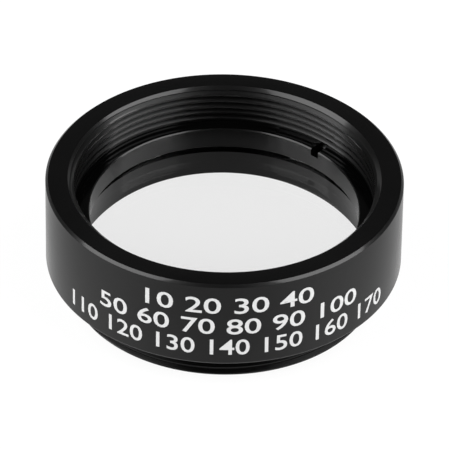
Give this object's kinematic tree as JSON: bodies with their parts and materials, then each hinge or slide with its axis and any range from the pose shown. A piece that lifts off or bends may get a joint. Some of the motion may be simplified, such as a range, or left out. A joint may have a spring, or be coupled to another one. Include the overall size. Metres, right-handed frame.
{
  "type": "mounted biconvex lens",
  "caption": "Biconvex glass lens clamped by a slotted ring in a round, black anodised cell, threaded inside its mouth and outside its spigot.",
  "frame": {"origin": "centre of the spigot's end face, on the optical axis, at the lowest height of the mount", "axes": "+Z along the optical axis, out of the threaded mouth; +X and +Y lie in the spigot's end face"},
  "size_m": [0.0304, 0.0304, 0.0111],
  "materials": {
    "anodised_housing": "satin black anodised, turned",
    "anodised_ring": "matte black anodised, turned",
    "optical_glass": "polished faces with a thin anti-reflection film, ground edge",
    "white_marking": "bare metal marks, laser cut through the black film"
  },
  "bodies": {
    "root": {"housing": "anodised_housing", "lens": "optical_glass", "retaining_ring": "anodised_ring"}
  },
  "joints": []
}
